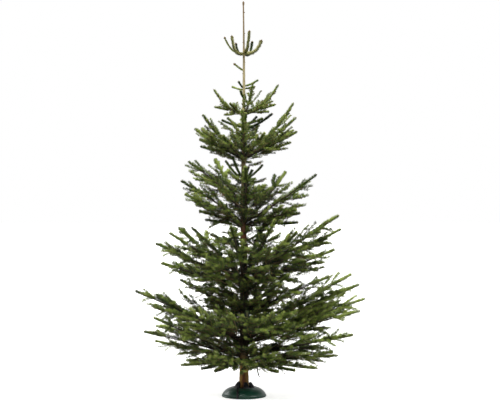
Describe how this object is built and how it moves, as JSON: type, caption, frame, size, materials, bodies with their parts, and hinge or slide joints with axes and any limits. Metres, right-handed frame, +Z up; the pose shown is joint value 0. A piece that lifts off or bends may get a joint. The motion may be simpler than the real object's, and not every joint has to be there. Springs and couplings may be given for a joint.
{
  "type": "christmas tree",
  "caption": "Natural fir christmas tree with a bare leader, tiers of upturned boughs and needle sprays, its tapering trunk gripped by claws in a low domed stand with a foot lever.",
  "frame": {"origin": "centre of the stand's flat underside, on the floor", "axes": "+Z up along the trunk, +X to the right and +Y away from someone who faces the tree's front; metres"},
  "size_m": [1.4605, 1.2304, 2.5],
  "materials": {
    "bark": "thin smooth fir bark, tan brown, greyer towards the tip",
    "needles": "sprays of glossy dark green needles on thin brown twigs",
    "stand_green": "smooth glossy dark green plastic",
    "stand_black": "smooth satin black plastic and coated steel"
  },
  "bodies": {
    "root": {"crown_shoot_1": "needles", "crown_shoot_2": "needles", "crown_shoot_3": "needles", "crown_shoot_4": "needles", "crown_shoot_5": "needles", "high_foliage_1": "needles", "high_foliage_2": "needles", "high_foliage_3": "needles", "high_foliage_4": "needles", "high_foliage_5": "needles", "high_foliage_6": "needles", "inner_foliage_1": "needles", "inner_foliage_2": "needles", "inner_foliage_3": "needles", "leader_shoot_1": "needles", "lower_bough_1": "bark", "lower_bough_2": "bark", "lower_bough_3": "bark", "lower_bough_4": "bark", "lower_bough_5": "bark", "lower_bough_6": "bark", "lower_foliage_1": "needles", "lower_foliage_2": "needles", "lower_foliage_3": "needles", "lower_foliage_4": "needles", "lower_foliage_5": "needles", "lower_foliage_6": "needles", "lowest_foliage_1": "needles", "lowest_foliage_2": "needles", "lowest_foliage_3": "needles", "lowest_foliage_4": "needles", "lowest_foliage_5": "needles", "lowest_foliage_6": "needles", "lowest_foliage_7": "needles", "lowest_foliage_8": "needles", "middle_foliage_1": "needles", "middle_foliage_2": "needles", "middle_foliage_3": "needles", "middle_foliage_4": "needles", "middle_foliage_5": "needles", "middle_foliage_6": "needles", "middle_foliage_7": "needles", "middle_foliage_8": "needles", "stand_claws": "stand_black", "stand_dish": "stand_green", "stand_lever": "stand_black", "top_foliage_1": "needles", "top_foliage_2": "needles", "top_foliage_3": "needles", "top_foliage_4": "needles", "top_foliage_5": "needles", "trunk": "bark", "upper_foliage_1": "needles", "upper_foliage_2": "needles", "upper_foliage_3": "needles", "upper_foliage_4": "needles", "upper_foliage_5": "needles", "upper_foliage_6": "needles", "upper_foliage_7": "needles", "upper_foliage_8": "needles"}
  },
  "joints": []
}
